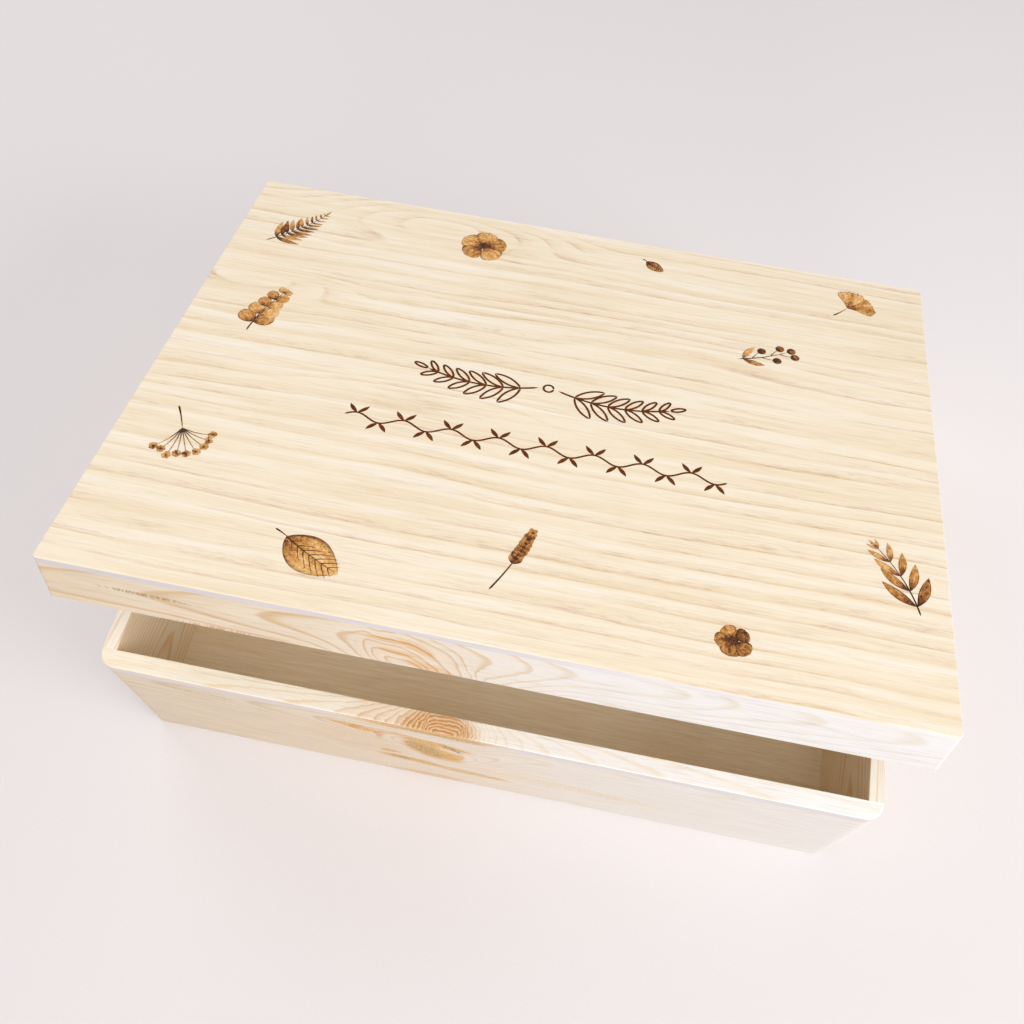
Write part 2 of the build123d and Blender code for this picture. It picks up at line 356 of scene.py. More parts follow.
    # the knot's own wood and bark, in short upright strokes
    strokes = add(tree, "MapRange", None, {"Value": strokes, "From Min": 0.57, "From Max": 0.45, "To Min": 0.06})
    for (x, z), reach, tilt, strength, hue in (LID_MARKS if on_lid else BODY_MARKS):
        mark = spot(tree, stained, (x, FRONT, z), reach, tilt, strength)
        mark = add(tree, "Math", TIMES, {0: mark, 1: strokes})
        colour = add(tree, "Mix", COLOURS, {"Factor": mark, "A": colour, "B": hue})
    if not on_lid:
        # a painted reflection: a pale, cool band on the face just under the rim, but not over the eye
        height = add(tree, "Math", OVER, {0: part.outputs["Z"], 1: RIM})
        edge_sheen = add(tree, "ValToRGB", {"stops": [
            (0.0, 0.0), (0.915, 0.0), (0.945, 0.8), (0.985, 0.9), (0.995, 0.0)]}, {0: height})
        clear = add(tree, "Math", MINUS, {0: 1.0, 1: spot(tree, place, (-32, FRONT, 97), (58, 60, 40))})
        edge_sheen = add(tree, "Math", TIMES, {0: edge_sheen, 1: clear})
        colour = add(tree, "Mix", COLOURS, {"Factor": edge_sheen, "A": colour, "B": "D9D3D6"})
    # the inside faces take a pale warm cream, which is painted bounce light inside the box, and end grain its own
    # darker colour
    for share, hue in ((hollow(tree, place), "FBEBCD"), (end_grain(tree), END_GRAIN)):
        colour = add(tree, "Mix", COLOURS, {"Factor": share, "A": colour, "B": hue})
    sand(tree, shader, place, colour, late)
    return material


# ---------------- the other woods

ENDLESS = 1e6          # millimetres, for a size that doesn't matter along the grain
# The inside's colours are warmer than the outside's: painted warm bounce light inside the box.
STRAIGHT_EARLY = ([(0.3, "FEF4E2"), (0.7, "FEF9EF")], [(0.3, "FCEBCE"), (0.7, "FDF3E0")])     # outside and inside
STRAIGHT_LATE = ([(0.3, "ECD0A4"), (0.7, "F0DABA")], [(0.3, "E8B678"), (0.7, "EFC792")])


def straight_pine(name, on_lid, along_depth, heart, lean):
    """Planed and sanded pine without a knot: rings are shells round a leaning heart that lies outside the board."""
    material, tree, shader = start_material(name)
    place = board_place(tree, on_lid)
    grain = place
    if along_depth:
        grain = add(tree, "Mapping", None, {"Vector": place, "Rotation": (0, 0, math.radians(90))})
    drift = wander(tree, grain, (90, 18, 18), (4.0, 2.4, 3.0))
    drift = wander(tree, drift, (14, 5, 5), (0.8, 0.5, 0.6))
    rings = add(tree, "VectorMath", MINUS, {0: drift, 1: heart})
    rings = add(tree, "Mapping", None, {"Vector": rings, "Rotation": lean})
    rings = add(tree, "VectorMath", OVER, {0: rings, 1: (ENDLESS, RING_WIDTH, RING_WIDTH)})
    rings = add(tree, "VectorMath", {"operation": "LENGTH"}, {0: rings})
    late = late_wood(tree, rings)
    patch = streaks(tree, grain, (120, 20, 20), 2.0)
    # the inside faces take their own warmer colours, which are painted bounce light
    painted_bounce_inside = hollow(tree, place)
    shades = []
    for outer, inner in (STRAIGHT_EARLY, STRAIGHT_LATE):
        outer = add(tree, "ValToRGB", {"stops": outer}, {0: patch})
        inner = add(tree, "ValToRGB", {"stops": inner}, {0: patch})
        shades.append(add(tree, "Mix", COLOURS, {"Factor": painted_bounce_inside, "A": outer, "B": inner}))
    amount = add(tree, "Math", TIMES, {0: late, 1: 0.75})
    colour = add(tree, "Mix", COLOURS, {"Factor": amount, "A": shades[0], "B": shades[1]})
    if not along_depth:
        colour = add(tree, "Mix", COLOURS, {"Factor": end_grain(tree), "A": colour, "B": END_GRAIN})
    sand(tree, shader, grain, colour, late)
    return material


LINE_SPACING = 9.0     # millimetres between the veneer's lines where no hill bends them
# Flat hills that the lines bend round: centre, reach and height in lines
VENEER_HILLS = [((-84, 138, LID_TOP), (110, 34, 40), 4.4), ((-176, 60, LID_TOP), (74, 20, 40), 3.0),
                ((60, 64, LID_TOP), (150, 26, 40), 1.0), ((-70, -12, LID_TOP), (90, 16, 40), 1.4)]
SHEET = 3.95           # the depth below the sheet's top at which its underside begins


def veneered_sheet(name):
    """Sanded ash veneer on a pale core: cream wood with faint uneven bands, thin pinkish-brown lines and short pores.

    The lines run left to right, 4 to 14 mm apart, come and go, and bend round a few flat hills.
    """
    material, tree, shader = start_material(name)
    place = board_place(tree, True)
    drift = wander(tree, place, (230, 60, 20), (20.0, 15.0, 0.0))
    drift = wander(tree, drift, (5000, 24, 500), (0.0, 14.0, 0.0))
    drift = wander(tree, drift, (80, 22, 9), (3.0, 2.4, 0.0))
    lines = add(tree, "Math", OVER, {
        0: add(tree, "SeparateXYZ", None, {0: drift}).outputs["Y"], 1: -LINE_SPACING})
    for centre, reach, count in VENEER_HILLS:
        hill = spot(tree, drift, centre, reach, strength=count, fade=1.0)
        lines = add(tree, "Math", PLUS, {0: lines, 1: hill})
    phase = add(tree, "Math", {"operation": "FRACT"}, {0: lines})
    shown = add(tree, "MapRange", None, {
        "Value": streaks(tree, drift, (110, 9, 8), 2.0), "From Min": 0.4, "From Max": 0.64, "To Min": 0.12})
    profiles = []
    for stops in ([(0.0, 0.0), (0.35, 0.1), (0.85, 0.8), (0.92, 1.0), (1.0, 0.0)],
                  [(0.0, 0.0), (0.8, 0.04), (0.89, 1.0), (0.94, 0.5), (1.0, 0.0)]):
        profile = add(tree, "ValToRGB", {"stops": stops}, {0: phase})
        profiles.append(add(tree, "Math", TIMES, {0: profile, 1: shown}))
    band, line = profiles
    pores = add(tree, "MapRange", None, {
        "Value": streaks(tree, drift, (9, 0.6, 3), 3.0), "From Min": 0.5, "From Max": 0.66})
    close = add(tree, "Math", {"operation": "MULTIPLY_ADD"}, {0: band, 1: 0.9, 2: 0.05})
    pores = add(tree, "Math", TIMES, {0: pores, 1: close})
    colour = add(tree, "ValToRGB", {"stops": [(0.34, "F4E4C6"), (0.5, "F8EBD1"), (0.68, "FBF2E0")]}, {
        0: streaks(tree, drift, (120, 5.0, 6), 3.0)})
    for amount, share, hue in ((band, 0.55, "ECD5AE"), (line, 0.55, "DFC09C"), (pores, 0.8, "CBA184")):
        amount = add(tree, "Math", TIMES, {0: amount, 1: share})
        colour = add(tree, "Mix", COLOURS, {"Factor": amount, "A": colour, "B": hue})
    # the sheet's sawn edge shows its pale core under a cool lilac-grey painted reflection, darker towards the left as
    # painted shade, and its underside is plain
    part = add(tree, "SeparateXYZ", None, {0: place})
    edge_sheen = add(tree, "MapRange", None, {
        "Value": part.outputs["Z"], "From Min": LID_TOP - 0.3, "From Max": LID_TOP - 0.9})
    core_and_sheen = add(tree, "ValToRGB", {"stops": [
        (0.0, "CFC9CC"), (0.5, "D6D0D2"), (0.7, "E4E0E2"), (1.0, "E8E6E8")]}, {
        0: board_share(tree, part.outputs["X"])})
    under = add(tree, "Math", {"operation": "LESS_THAN"}, {0: part.outputs["Z"], 1: LID_TOP - SHEET})
    for share, hue in ((edge_sheen, core_and_sheen), (under, "EBD3A8")):
        colour = add(tree, "Mix", COLOURS, {"Factor": share, "A": colour, "B": hue})
    sand(tree, shader, place, colour, line, (30, 0.8, 0.8), 0.015, "F2EADC")
    return material


def birch_plywood(name):
    """Sanded birch plywood: even, pale and faintly streaked."""
    material, tree, shader = start_material(name)
    place = board_place(tree, False)
    drift = wander(tree, place, (80, 20, 6), (8.0, 5.0, 0.0))
    streak = streaks(tree, drift, (45, 1.6, 3), 3.0)
    colour = add(tree, "ValToRGB", {"stops": [(0.35, "FAEFD9"), (0.7, "F2DFBD")]}, {0: streak})
    sand(tree, shader, place, colour, streak, (18, 0.7, 0.7))
    return material


# ---------------- metal

def worked_metal(name, bright, dull, roughness, mark_cell):
    """Rolled, drawn or turned metal: hairline tool marks, and dull spots where hands and air have aged it."""
    material, tree, shader = start_material(name)
    place = board_place(tree, False)
    marks = streaks(tree, place, mark_cell, 3.0)
    colour = add(tree, "ValToRGB", {"stops": [(0.35, bright), (0.75, dull)]}, {
        0: streaks(tree, place, (3, 3, 3), 3.0)})
    rough = add(tree, "MapRange", None, {"Value": marks, "To Min": roughness - 0.07, "To Max": roughness + 0.12})
    bump = add(tree, "Bump", None, {"Strength": 0.3, "Distance": 0.02 * MM, "Height": marks})
    feed(tree, shader, {"Base Color": colour, "Roughness": rough, "Normal": bump, "Metallic": 1.0})
    return material


finishes = {
    "body_front_board": front_pine("knotty_pine_body_front", False),
    "lid_front_rail": front_pine("knotty_pine_lid_front", True),
    "lid_top_panel": veneered_sheet("veneered_sheet"),
    "body_bottom_panel": birch_plywood("birch_plywood"),
}
for node, on_lid, along_depth, heart, lean in (
        ("body_back_board", False, False, (0, 175, 40), (0, 0.03, 0.05)),
        ("lid_back_rail", True, False, (0, 175, 60), (0, 0.02, 0.05)),
        ("body_left_board", False, True, (0, -150, 30), (0, 0.05, 0.06)),
        ("body_right_board", False, True, (0, 240, 70), (0, -0.04, 0.05)),
        ("lid_left_rail", True, True, (0, -150, 30), (0, 0.05, 0.06)),
        ("lid_right_rail", True, True, (0, 240, 70), (0, -0.04, 0.05))):
    finishes[node] = straight_pine("straight_pine_" + node.rsplit("_", 1)[0], on_lid, along_depth, heart, lean)
turned_brass = worked_metal("turned_brass", "D6AE62", "A8833F", 0.3, (0.4, 0.4, 0.2))
for ending, finish in (("leaf", worked_metal("rolled_brass", "D9B468", "B08A45", 0.28, (12, 0.2, 0.2))),
                       ("pin", worked_metal("drawn_steel_wire", "B9B5AD", "98938A", 0.32, (8, 0.2, 0.2))),
                       ("screws", turned_brass)):
    finishes.update((name, finish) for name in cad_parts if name.endswith(ending))
for name, material in finishes.items():
    node = bpy.data.objects[name]
    node.data.materials.clear()
    node.data.materials.append(material)


# ---------------- what all new pieces share

def swung(points, turn):
    """Points in millimetres swung open about the hinges' pin, towards the back."""
    back, up = points[:, 1] - HINGE_BACK, points[:, 2] - HINGE_HEIGHT
    return np.stack([points[:, 0], HINGE_BACK + back * math.cos(turn) + up * math.sin(turn),
                     HINGE_HEIGHT - back * math.sin(turn) + up * math.cos(turn)], axis=1)


def new_piece(name, points, faces, material):
    """A mesh of points in millimetres, in an object that is neither moved nor scaled."""
    mesh = bpy.data.meshes.new(name)
    mesh.from_pydata((points * MM).tolist(), [], faces)
    mesh.materials.append(material)
    piece = bpy.data.objects.new(name, mesh)
    scene.collection.objects.link(piece)
    return piece


# ---------------- slotted screws in the hinge leaves

HEAD, SHANK = 1.9, 1.0                 # radii
HEAD_DEPTH, SCREW_LENGTH = 1.0, 8.0
SLOT_HALF, SLOT_DEPTH = 0.25, 0.5
SLOT_END = 0.94                        # as a share of the way to the head's rim
SLOT_WALL, SLOT_END_WALL = 0.01, 0.015     # how far the slot's sides and ends slope
LEAF_FACE = 151.0                      # how far back the leaves' faces and the heads are
SCREW_RISE = 8.0                       # from the pin's axis, up on the lid and down on the box
SCREW_PLACES = (-138.5, -121.5, 121.5, 138.5)


def slotted_screw(slot_angle):
    """Points and faces of one screw that points away from +Y, with its head's face at y = 0.

    The face is a grid over (across the slot, share along it): (a, v * sqrt(head² - a²)), sunk where both are in the
    slot. The same rim carries rings down the cone and the shank to a point in the middle of the blunt end.
    """
    across = np.array([-HEAD, -1.77, -1.5, -1.1, -0.65, -SLOT_HALF - SLOT_WALL, -SLOT_HALF])
    across = np.concatenate([across, -across[::-1]])
    share = np.array([-1, -SLOT_END - SLOT_END_WALL, -SLOT_END, -0.5, 0, 0.5, SLOT_END, SLOT_END + SLOT_END_WALL, 1])
    rows, columns = len(across) - 2, len(share)
    a, v = np.meshgrid(across[1:-1], share, indexing="ij")
    sunk = (np.abs(a) <= SLOT_HALF) & (np.abs(v) <= SLOT_END)
    face = np.stack([a, v * np.sqrt(HEAD ** 2 - a ** 2), np.where(sunk, -SLOT_DEPTH, 0.0)], axis=-1).reshape(-1, 3)
    number = np.arange(rows * columns).reshape(rows, columns)
    left, right = rows * columns, rows * columns + 1
    points = [face, [[-HEAD, 0, 0], [HEAD, 0, 0]]]
    quads = np.stack([number[:-1, :-1], number[1:, :-1], number[1:, 1:], number[:-1, 1:]], axis=-1).reshape(-1, 4)
    tips = np.concatenate([
        np.stack([np.full(columns - 1, left), number[0, :-1], number[0, 1:]], axis=1),
        np.stack([np.full(columns - 1, right), number[-1, 1:], number[-1, :-1]], axis=1)])
    rim = np.concatenate([[left], number[:, 0], [right], number[::-1, -1]])
    rim_points = np.concatenate([face, points[1]])[rim]
    count, first = len(rim), rows * columns + 2
    sides, above = [], rim
    for radius, depth in ((SHANK, HEAD_DEPTH), (SHANK, SCREW_LENGTH)):
        points.append(np.concatenate([rim_points[:, :2] * radius / HEAD, np.full((count, 1), -depth)], axis=1))
        below = first + np.arange(count)
        sides.append(np.stack([above, below, np.roll(below, -1), np.roll(above, -1)], axis=1))
        above, first = below, first + count
    points.append([[0, 0, -SCREW_LENGTH]])
    end = np.stack([above, np.full(count, first), np.roll(above, -1)], axis=1)
    points = np.concatenate(points)
    turn = np.radians(slot_angle)
    x = points[:, 0] * math.cos(turn) - points[:, 1] * math.sin(turn)
    z = -(points[:, 0] * math.sin(turn) + points[:, 1] * math.cos(turn))
    faces = [corners for group in (quads, tips, *sides, end) for corners in group.tolist()]
    return np.stack([x, points[:, 2], z], axis=1), faces


def set_screws(name, node, body, rise, turn, slot_angles):
    """Four screws in one mesh that stands for a node, swung about the pin by turn."""
    points, faces, offset = [], [], 0
    for x, slot_angle in zip(SCREW_PLACES, slot_angles):
        one, one_faces = slotted_screw(slot_angle)
        points.append(one + (x, LEAF_FACE, HINGE_HEIGHT + rise))
        faces += [[corner + offset for corner in face] for face in one_faces]
        offset += len(one)
    piece = new_piece(name, swung(np.concatenate(points), turn), faces, turned_brass)
    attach(piece, body)
    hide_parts(node)


set_screws("body_slotted_screws", "body_hinge_screws", "box", -SCREW_RISE, 0.0, (20, 75, 130, 52))
set_screws("lid_slotted_screws", "lid_hinge_screws", "lid", SCREW_RISE, LID_ANGLE, (100, 35, 62, 160))


# ---------------- pressed plants and ornament on the lid

FILM = 0.08            # thickness of a pressed petal, a little more than the real 0.05 mm
BURN = 0.02            # thickness of a burnt line's char
LAYER = 0.02           # each blade lies this much higher than the one before it, up to TOP_LAYER
TOP_LAYER = 6
LIFT = 0.005           # from the sheet's face to the lowest blade
SIDES = 8              # points round a blade's section
STEPS, FINE = 12, 24   # points along a blade's path, and along a long or broad one's
TONE_SPREAD = 0.22
chance = np.random.default_rng(5)


def arc_path(start, heading, length, bend, steps=STEPS):
    """Points along an arc: its heading in degrees turns evenly by bend from one end to the other."""
    turn = np.radians(heading + bend * (np.arange(steps - 1) + 0.5) / (steps - 1))
    step = np.stack([np.cos(turn), np.sin(turn)], axis=1) * length / (steps - 1)
    return np.asarray(start, float) + np.concatenate([[[0.0, 0.0]], np.cumsum(step, axis=0)])


def towards(heading):
    """A step of length 1 in the direction of heading, in degrees."""
    return np.array([math.cos(math.radians(heading)), math.sin(math.radians(heading))])


def leaf_widths(width, fullest=0.5, blunt=1.0, steps=STEPS):
    """Half widths along a leaf: a sine whose top lies at the share called fullest, made rounder by a blunt under 1."""
    share = np.linspace(0, 1, steps)
    return width / 2 * np.sin(np.pi * share ** (math.log(0.5) / math.log(fullest))).clip(0) ** blunt


def stalk_widths(width, steps=STEPS):
    """Half widths of a stalk that thins to a third towards its end."""
    return width / 2 * np.linspace(1, 0.35, steps)


def press(name, material, blades, at, turn, film=FILM):
    """Blades laid flat on the lid and merged into one mesh, turned about their root and moved to a place on the lid.

    A blade is (path, half widths, tone). Its section is a flat ellipse carried along the path, at path + across *
    half width * cos(angle) and up by half the film's thickness * sin(angle), and a single point closes each end.
    The attribute strip keeps (share along the path, cos(angle), tone) for the material.
    """
    angle = np.linspace(0, 2 * np.pi, SIDES, endpoint=False)
    all_points, all_faces, all_strips = [], [], []
    offset = 0
    for layer, (path, half, tone) in enumerate(blades):
        along = np.gradient(path, axis=0)
        along /= np.linalg.norm(along, axis=1, keepdims=True)
        across = np.stack([-along[:, 1], along[:, 0]], axis=1)
        rows = len(path) - 2
        wide = (half[1:-1, None] * np.cos(angle)[None, :])[..., None] * across[1:-1, None, :] + path[1:-1, None, :]
        thick = np.minimum(half[1:-1, None], film / 2) * np.sin(angle)[None, :]
        level = film / 2 + LIFT + min(layer, TOP_LAYER) * LAYER * film / FILM
        rings = np.concatenate([wide, thick[..., None] + level], axis=2).reshape(-1, 3)
        ends = np.array([[*path[0], level], [*path[-1], level]])
        all_points.append(np.concatenate([rings, ends]))
        share = np.linspace(0, 1, len(path))
        strip = np.stack([
            np.repeat(share[1:-1], SIDES), np.tile(np.cos(angle), rows), np.full(rows * SIDES, tone)], axis=1)
        all_strips.append(np.concatenate([strip, [[0, 0, tone], [1, 0, tone]]]))
        first, column = np.meshgrid(np.arange(rows - 1) * SIDES, np.arange(SIDES), indexing="ij")
        after = (column + 1) % SIDES
        quads = np.stack([first + column, first + after, first + SIDES + after, first + SIDES + column], axis=-1)
        start, end, last = rows * SIDES, rows * SIDES + 1, (rows - 1) * SIDES
        around, beyond = np.arange(SIDES), (np.arange(SIDES) + 1) % SIDES
        caps = np.concatenate([np.stack([np.full(SIDES, start), beyond, around], axis=1),
                               np.stack([np.full(SIDES, end), last + around, last + beyond], axis=1)])
        all_faces += (quads.reshape(-1, 4) + offset).tolist() + (caps + offset).tolist()
        offset += len(rings) + 2
    points = np.concatenate(all_points)
    turned = Matrix.Rotation(math.radians(turn), 2)
    points[:, :2] = points[:, :2] @ np.array(turned).T + at
    points[:, 2] += LID_TOP
    piece = new_piece(name, swung(points, LID_ANGLE), all_faces, material)
    piece.data.polygons.foreach_set("use_smooth", np.ones(len(all_faces), bool))
    strip = piece.data.attributes.new("strip", "FLOAT_VECTOR", "POINT")
    strip.data.foreach_set("vector", np.concatenate(all_strips).astype(np.float32).ravel())
    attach(piece, "lid")


def tone_near(tone):
    """A tone from 0, pale, to 1, dark, by chance near the given one."""
    return float(np.clip(tone + chance.uniform(-TONE_SPREAD, TONE_SPREAD), 0, 1))


def point_along(path, share):
    """The point at this share of a fine path."""
    return [np.interp(share, np.linspace(0, 1, FINE), path[:, k]) for k in (0, 1)]


def sprig(length, bend, pairs, leaf, angle, stalk=0.9, taper=0.7, fullest=0.5, tone=0.5, first=0.15, blunt=0.9):
    """A stalk with pairs of leaves that shrink towards its end, and one leaf at the end; leaf is (length, width)."""
    path = arc_path((0, 0), -bend / 2, length, bend, FINE)
    blades = [(path, stalk_widths(stalk, FINE), 0.9)]
    for share in np.linspace(first, 0.94, pairs):
        root = point_along(path, share)
        size = (1 - share) ** taper * (1 + chance.uniform(-0.08, 0.08)) + 0.12
        for side in (-1, 1):
            heading = -bend / 2 + bend * share + side * (angle + chance.uniform(-6, 6))
            blades.append((arc_path(root, heading, leaf[0] * size, -side * 18),
                           leaf_widths(leaf[1] * size, fullest, blunt), tone_near(tone)))
    blades.append((arc_path(path[-2], bend / 2, leaf[0] * 0.3, 0), leaf_widths(leaf[1] * 0.3, fullest, blunt), tone))
    return blades


def blossom(radius, petals, width, tone, heart=0.16):
    """Round petals about a dark heart of short blades."""
    blades = []
    for k in range(petals):
        heading = 360 * k / petals + chance.uniform(-6, 6)
        root = radius * 0.1 * towards(heading)
        size = radius * 0.9 * (1 + chance.uniform(-0.1, 0.05))
        blades.append((arc_path(root, heading, size, chance.uniform(-14, 14)),
                       leaf_widths(width * (1 + chance.uniform(-0.1, 0.1)), 0.62, 0.62), tone_near(tone)))
    for k in range(9):
        heading = 40 * k + chance.uniform(-8, 8)
        blades.append((arc_path(-radius * heart * 0.5 * towards(heading), heading, radius * heart * 2, 0, 6),
                       leaf_widths(radius * 0.16, 0.7, 0.7, 6), 1.0))
    return blades


def fan_leaf(length, stalk, spread, tone):
    """Narrow wedges side by side from the top of a stalk, so that they make one ribbed fan with a notched edge."""
    blades = [(arc_path((0, 0), -8, stalk, 14), stalk_widths(1.0), 0.8)]
    top = blades[0][0][-1]
    for heading in np.linspace(-spread, spread, 13):
        size = length * (0.86 + 0.14 * math.cos(math.radians(heading * 1.2))) * (1 + chance.uniform(-0.05, 0.05))
        size *= 0.8 if abs(heading) < 1 else 1.0
        blades.append((arc_path(top, heading, size, heading * 0.12),
                       leaf_widths(length * 0.3, 0.8, 0.55), tone_near(tone)))
    return blades


def umbel(rays, length, spread, tone):
    """Thin rays from the top of a stalk, each with a tuft of small round florets."""
    blades = [(arc_path((-length * 0.9, 0), 4, length * 0.9, -8), stalk_widths(1.1), 0.85)]
    for heading in np.linspace(-spread, spread, rays):
        reach = length * (0.82 + 0.18 * math.cos(math.radians(heading))) * (1 + chance.uniform(-0.06, 0.06))
        ray = arc_path((0, 0), heading * 0.7, reach, heading * 0.5)
        blades.append((ray, stalk_widths(0.6), 0.75))
        for k in range(6):
            blades.append((arc_path(ray[-1], 60 * k + chance.uniform(-20, 20), length * 0.13, 0, 6),
                           leaf_widths(length * 0.11, 0.6, 0.6, 6), tone_near(tone)))
    return blades


def veined_leaf(length, width, tone):
    """One broad blade on a short stalk, with a midrib and seven pairs of side veins as darker threads."""
    blades = [(arc_path((-length * 0.22, 0), 6, length * 0.25, -10), stalk_widths(1.0), 0.9),
              (arc_path((0, 0), -6, length, 12, FINE), leaf_widths(width, 0.46, 0.8, FINE), tone)]
    rib = blades[1][0]
    blades.append((rib[:-1], stalk_widths(0.9, FINE - 1), 1.0))
    for share in np.linspace(0.12, 0.82, 7):
        root = point_along(rib, share)
        reach = width * 0.56 * math.sin(math.pi * share ** 0.9)
        for side in (-1, 1):
            blades.append((arc_path(root, -6 + 12 * share + side * 44, reach, side * -14), stalk_widths(0.5), 0.95))
    return blades


def berries(length, tone):
    """A forked stalk with round berries, and two narrow leaves at its foot."""
    blades = [(arc_path((0, 0), -10, length, 20), stalk_widths(0.9), 0.9)]
    for share, side in ((0.3, 1), (0.45, -1), (0.62, 1), (0.78, -1), (1.0, 0)):
        root = blades[0][0][round(share * (STEPS - 1))]
        twig = arc_path(root, side * 42, length * 0.22, -side * 20) if side else np.array([root])
        if side:
            blades.append((twig, stalk_widths(0.6), 0.85))
        blades.append((arc_path(twig[-1] - (length * 0.02, 0), side * 20, length * 0.17, 0),
                       leaf_widths(length * 0.16, 0.5, 0.5), tone_near(tone)))
    for side in (-1, 1):
        blades.append((arc_path(blades[0][0][1], side * 48, length * 0.42, -side * 24),
                       leaf_widths(length * 0.12, 0.5, 0.9), tone_near(0.35)))
    return blades


def pressed_petal(name):
    """Pressed and dried petals and leaves under matt varnish: honey to umber, mottled, and darker at the root."""
    material, tree, shader = start_material(name)
    strip = add(tree, "Attribute", {"attribute_name": "strip"}).outputs["Vector"]
    part = add(tree, "SeparateXYZ", None, {0: strip})
    place = board_place(tree, True)
    mottle = streaks(tree, place, (2.2, 2.2, 2.2), 4.0)
    veins = add(tree, "VectorMath", TIMES, {0: strip, 1: (1.6, 5.0, 9.0)})
    veins = add(tree, "TexNoise", None, {"Vector": veins, "Scale": 1.0, "Detail": 2.0})
    shade = add(tree, "Math", {"operation": "MULTIPLY_ADD"}, {0: part.outputs["Z"], 1: 0.8, 2: -0.64})
    shade = add(tree, "Math", PLUS, {0: mottle, 1: shade})
    shade = add(tree, "Math", {"operation": "MULTIPLY_ADD"}, {0: veins, 1: 0.6, 2: shade})
    root = add(tree, "MapRange", None, {"Value": part.outputs["X"], "From Min": 0.45, "From Max": 0.0, "To Max": 0.5})
    specks = streaks(tree, place, (0.9, 0.9, 0.9), 2.0)
    specks = add(tree, "MapRange", None, {"Value": specks, "From Min": 0.56, "From Max": 0.7, "To Max": 0.4})
    for darker in (root, specks):
        shade = add(tree, "Math", PLUS, {0: shade, 1: darker})
    colour = add(tree, "ValToRGB", {"stops": [
        (0.1, "F3D3A0"), (0.36, "E5B06A"), (0.58, "C68A45"), (0.8, "875228"), (1.0, "4A2810")]}, {0: shade})
    bump = add(tree, "Bump", None, {"Strength": 0.4, "Distance": 0.05 * MM, "Height": veins})
    feed(tree, shader, {"Base Color": colour, "Roughness": 0.6, "Normal": bump, "IOR": 1.45, "Specular IOR Level": 0.3})
    return material


def burnt_line(name):
    """Wood burnt dark brown with a hot tip: matt, with lighter spots where the tip moved fast."""
    material, tree, shader = start_material(name)
    speed = streaks(tree, board_place(tree, True), (2.5, 2.5, 2.5), 3.0)
    colour = add(tree, "ValToRGB", {"stops": [(0.35, "582B09"), (0.6, "70390C"), (0.75, "8A521C")]}, {0: speed})
    feed(tree, shader, {"Base Color": colour, "Roughness": 0.85, "IOR": 1.45, "Specular IOR Level": 0.15})
    return material


petal = pressed_petal("pressed_dried_petal")
for name, at, turn, blades in (
        ("pressed_fern", (-181, 92), 52, sprig(44, 24, 11, (15, 3.4), 62, 0.8, 0.9, 0.4, 0.55)),
        ("pressed_blossom", (-58, 121), 15, blossom(14, 5, 13, 0.45)),
        ("pressed_small_leaf", (38, 133), -35, veined_leaf(13, 8, 0.5)),
        ("pressed_fan_leaf", (148, 112), 48, fan_leaf(17, 12, 52, 0.35)),
        ("pressed_berries", (96, 60), 25, berries(30, 0.75)),
        ("pressed_eucalyptus", (-164, 14), 75, sprig(38, -20, 5, (11, 9), 58, 0.9, 0.4, 0.55, 0.4, 0.2, 0.6)),
        ("pressed_umbel", (-168, -62), -62, umbel(9, 18, 62, 0.5)),
        ("pressed_beech_leaf", (-98, -114), -28, veined_leaf(32, 20, 0.25)),
        ("pressed_lavender", (-4, -122), 70, sprig(40, 14, 9, (6, 3.6), 30, 0.9, 0.25, 0.6, 0.7, 0.45, 0.6)),
        ("pressed_small_blossom", (104, -124), 40, blossom(9, 5, 8.5, 0.6)),
        ("pressed_willow_leaves", (186, -92), 118, sprig(42, 30, 5, (19, 5), 42, 0.9, 0.6, 0.5, 0.45, 0.12, 0.9))):
    press(name, petal, blades, at, turn)


LEAF_BULGE = 62        # degrees that a drawn leaf's sides turn through
BUD = 2.6              # radius of the ring between the two sprays


def drawn_leaf(root, heading, length, bulge, line):
    """A leaf's outline: two arcs from its root to its tip that bulge to either side."""
    return [(arc_path(root, heading + side * bulge / 2, length * (1 + (bulge / 220) ** 2), -side * bulge),
             np.full(STEPS, line / 2), 0.5) for side in (-1, 1)]


def drawn_spray(length, bend, pairs, leaf, spread, line):
    """A curved stalk with pairs of outlined leaves that shrink towards its end, and one at the end."""
    path = arc_path((0, 0), -bend / 2, length, bend, FINE)
    blades = [(path, np.full(FINE, line / 2), 0.5)]
    for share in np.linspace(0.16, 0.9, pairs):
        root = point_along(path, share)
        for side in (-1, 1):
            heading = -bend / 2 + bend * share + side * spread
            blades += drawn_leaf(root, heading, leaf * (1.05 - 0.55 * share), LEAF_BULGE, line)
    return blades + drawn_leaf(path[-1], bend / 2, leaf * 0.5, LEAF_BULGE, line)


burnt = burnt_line("burnt_line")
right_spray = [(path + (5, 0), half, tone) for path, half, tone in drawn_spray(60, 40, 6, 17, 40, 1.2)]
left_spray = [(path * (-1, 1), half, tone) for path, half, tone in right_spray]
ring_turn = np.linspace(0, 2 * np.pi, FINE)
bud = [(np.stack([BUD * np.cos(ring_turn), BUD * np.sin(ring_turn) + 0.5], axis=1), np.full(FINE, 0.6), 0.5)]
press("burnt_leaf_spray", burnt, right_spray + left_spray + bud, (0, 10), 0, BURN)

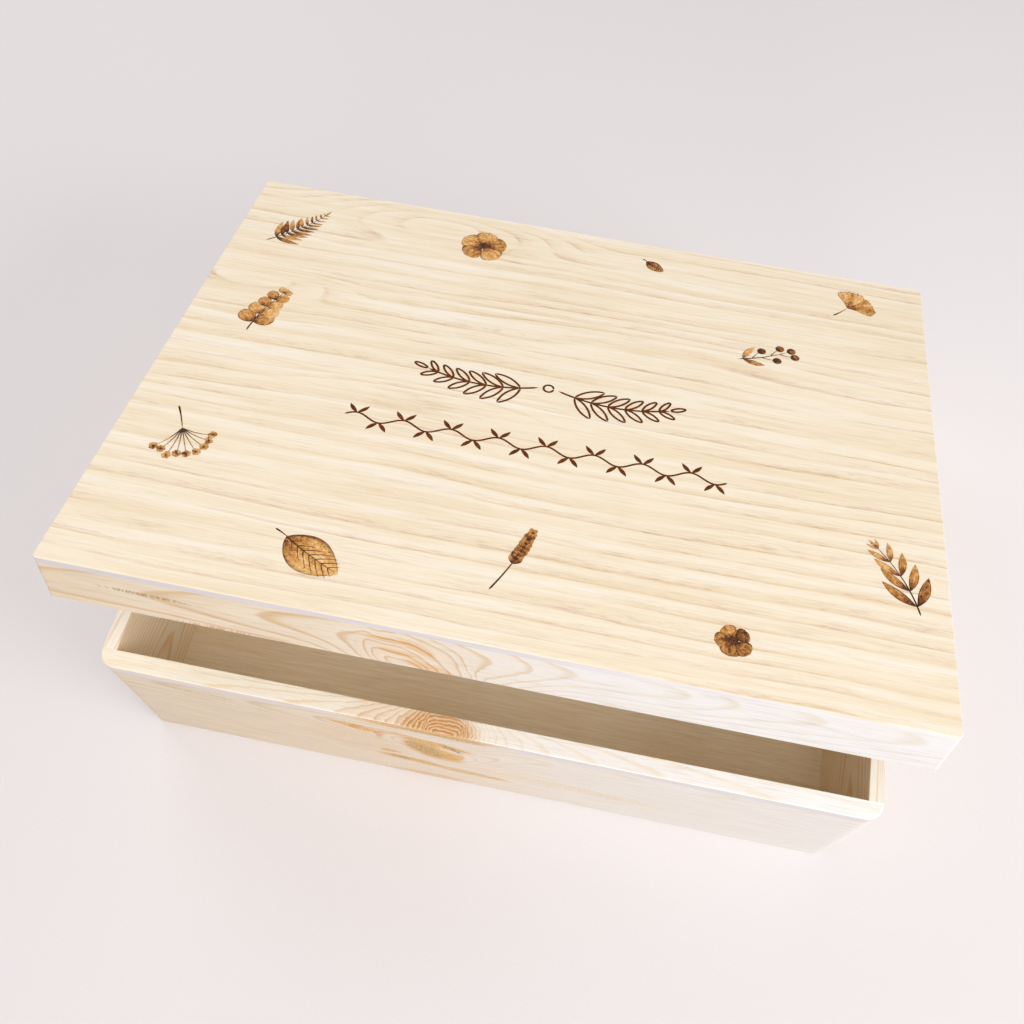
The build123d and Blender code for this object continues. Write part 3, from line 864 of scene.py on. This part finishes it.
WAVE, SWING, BAND_HALF = 24.0, 2.4, 96.0
VINE_STEPS = 161
along = np.linspace(-BAND_HALF, BAND_HALF, VINE_STEPS)
vine = [(np.stack([along, SWING * np.sin(2 * np.pi * along / WAVE)], axis=1), np.full(VINE_STEPS, 0.55), 0.5)]
for k, x in enumerate(np.arange(-BAND_HALF + WAVE / 4, BAND_HALF, WAVE / 2)):
    side = 1 if k % 2 == 0 else -1
    root = (x, SWING * math.sin(2 * math.pi * x / WAVE))
    for lean, bend in ((38, 20), (142, -20)):
        vine.append((arc_path(root, side * lean, 7.5, side * bend), leaf_widths(2.2, 0.5, 0.9), 0.5))
press("burnt_vine_band", burnt, vine, (0, -33), 0, BURN)


# ---------------- floor, light and camera

def backdrop_paper(name):
    """Matt off-white backdrop paper."""
    material, tree, shader = start_material(name)
    place = add(tree, "TexCoord").outputs["Object"]
    tooth = add(tree, "TexNoise", None, {"Vector": place, "Scale": 900.0, "Detail": 2.0})
    colour = add(tree, "ValToRGB", {"stops": [(0.3, "E4E0E0"), (0.7, "E7E3E3")]}, {0: tooth})
    feed(tree, shader, {"Base Color": colour, "Roughness": 0.85, "Specular IOR Level": 0.2})
    return material


FLOOR_REACH = 6.0      # metres
floor_mesh = bpy.data.meshes.new("floor")
floor_mesh.from_pydata([(x * FLOOR_REACH, y * FLOOR_REACH, 0) for x, y in ((-1, -1), (1, -1), (1, 1), (-1, 1))],
                       [], [(0, 1, 2, 3)])
floor = bpy.data.objects.new("floor", floor_mesh)
scene.collection.objects.link(floor)
floor_mesh.materials.append(backdrop_paper("matt_backdrop_paper"))

# Soft boxes: place in metres, side in metres and watts. All are turned to the middle of the box.
BOX_MIDDLE = Vector((0, 0, 0.08))
for name, place, side, watts in (
        ("front_light", (0.1, -0.6, 1.8), 1.0, 11.1), ("low_light", (0.3, -2.6, 0.55), 1.0, 15.8),
        ("right_light", (1.4, -0.5, 0.8), 0.9, 12.0), ("back_light", (-1.0, 0.8, 1.2), 0.9, 5.0)):
    light = bpy.data.lights.new(name, "AREA")
    light.shape = "SQUARE"
    light.size = side
    light.energy = watts
    light.color = linear("FFFDFB")[:3]
    lamp = bpy.data.objects.new(name, light)
    lamp.location = place
    lamp.rotation_euler = (BOX_MIDDLE - Vector(place)).to_track_quat("-Z", "Y").to_euler()
    scene.collection.objects.link(lamp)
world = bpy.data.worlds.new("studio")
world.use_nodes = True
feed(world.node_tree, world.node_tree.nodes["Background"], {"Color": "F6F4F8", "Strength": 0.533})
scene.world = world
scene.view_settings.view_transform = "Standard"

# The lens and its shift are in the units of a 36 mm sensor and of the square picture's width.
FOCAL_PIXELS, PICTURE_PIXELS, SENSOR = 1058.0, 1024, 36.0
MIDDLE_X, MIDDLE_Y = 530.9, 500.8
lens = bpy.data.cameras.new("camera")
lens.sensor_width = SENSOR
lens.lens = FOCAL_PIXELS * SENSOR / PICTURE_PIXELS
lens.shift_x = (PICTURE_PIXELS / 2 - MIDDLE_X) / PICTURE_PIXELS
lens.shift_y = (MIDDLE_Y - PICTURE_PIXELS / 2) / PICTURE_PIXELS
lens.clip_start = 0.01
camera = bpy.data.objects.new("camera", lens)
right, down = Vector((0.9811, 0.19164, 0.02689)), Vector((0.18234, -0.86896, -0.46006))
ahead = Vector((-0.0648, 0.45627, -0.88748))
turned = Matrix((right, -down, -ahead)).transposed().to_4x4()
camera.matrix_world = Matrix.Translation((0.03713, -0.28098, 0.62217)) @ turned
scene.collection.objects.link(camera)
bpy.context.scene.camera = camera
